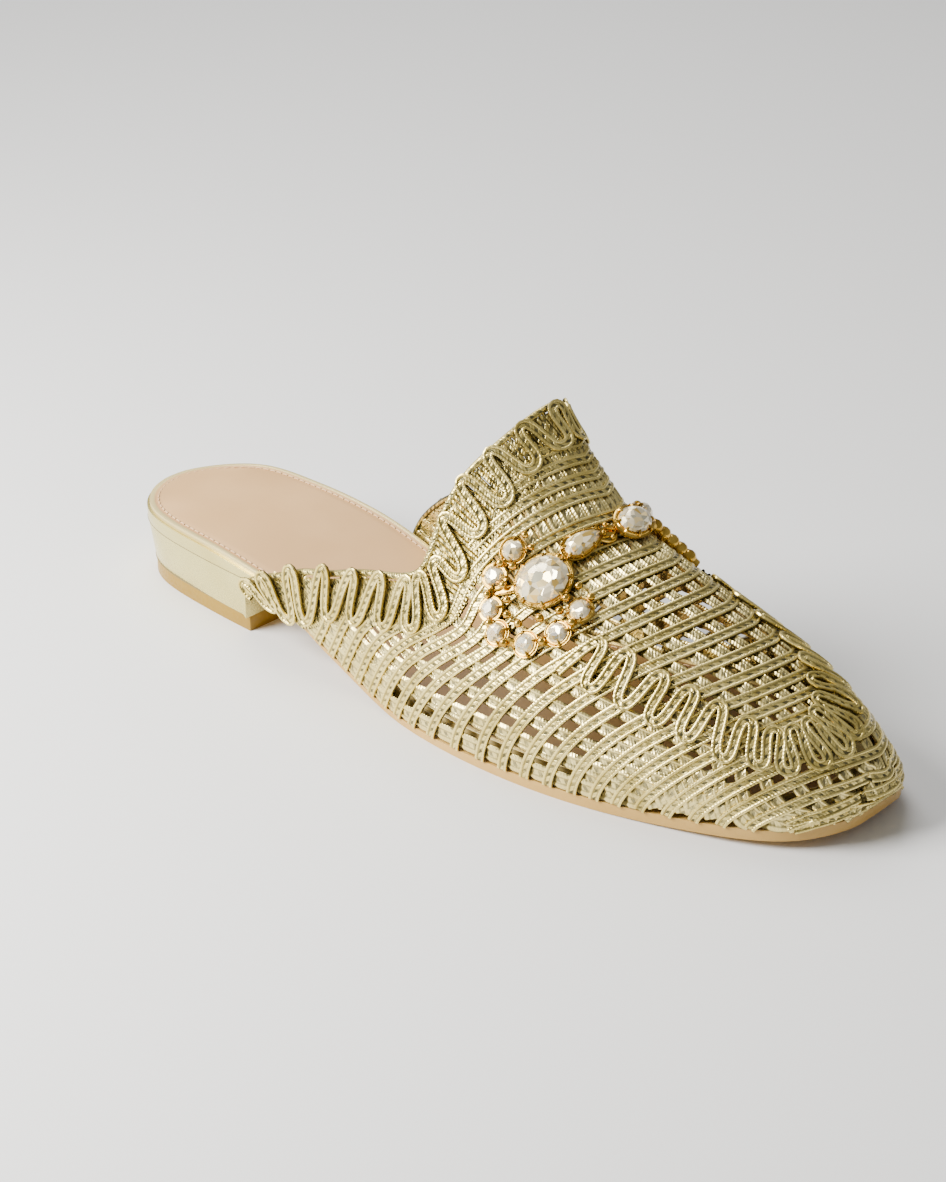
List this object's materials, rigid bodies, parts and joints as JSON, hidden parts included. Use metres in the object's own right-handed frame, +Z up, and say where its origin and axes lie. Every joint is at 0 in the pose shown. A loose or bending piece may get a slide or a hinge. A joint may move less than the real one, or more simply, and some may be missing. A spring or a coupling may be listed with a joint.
{
  "type": "woven mule",
  "caption": "Backless woven flat mule with a raised tongue, looped cord trims, a jewelled bit across the instep and a low block heel.",
  "frame": {"origin": "on the floor, below the middle of the shoe's bounding box", "axes": "+Y towards the toe, +X towards the outer side of the foot, +Z up"},
  "size_m": [0.0772, 0.2538, 0.0837],
  "materials": {
    "outsole_leather": "thin tan sole with a light cut edge",
    "tan_rubber": "matt tan rubber",
    "gold_leather": "pale gold metallic leather",
    "beige_leather": "smooth pinkish beige leather",
    "gold_weave": "woven champagne gold metallic cord",
    "gold_metal": "polished yellow gold plating",
    "crystal": "clear faceted crystal with a champagne tint"
  },
  "bodies": {
    "root": {"outsole": "outsole_leather", "top_lift": "tan_rubber", "heel_block": "gold_leather", "insole_board": "gold_leather", "insole": "beige_leather", "upper": "gold_weave", "topline_trim": "gold_weave", "vamp_trim": "gold_weave", "jewel_frame": "gold_metal", "stone_centre": "crystal", "stone_pear_outer": "crystal", "stone_pear_inner": "crystal", "stone_oval_outer": "crystal", "stone_oval_inner": "crystal", "stone_round_1_outer": "crystal", "stone_round_1_inner": "crystal", "stone_round_2_outer": "crystal", "stone_round_2_inner": "crystal", "stone_round_3_outer": "crystal", "stone_round_3_inner": "crystal", "stone_round_4_outer": "crystal", "stone_round_4_inner": "crystal", "stone_round_5_outer": "crystal", "stone_round_5_inner": "crystal", "stone_round_6_outer": "crystal", "stone_round_6_inner": "crystal", "stone_round_7_outer": "crystal", "stone_round_7_inner": "crystal"}
  },
  "joints": []
}
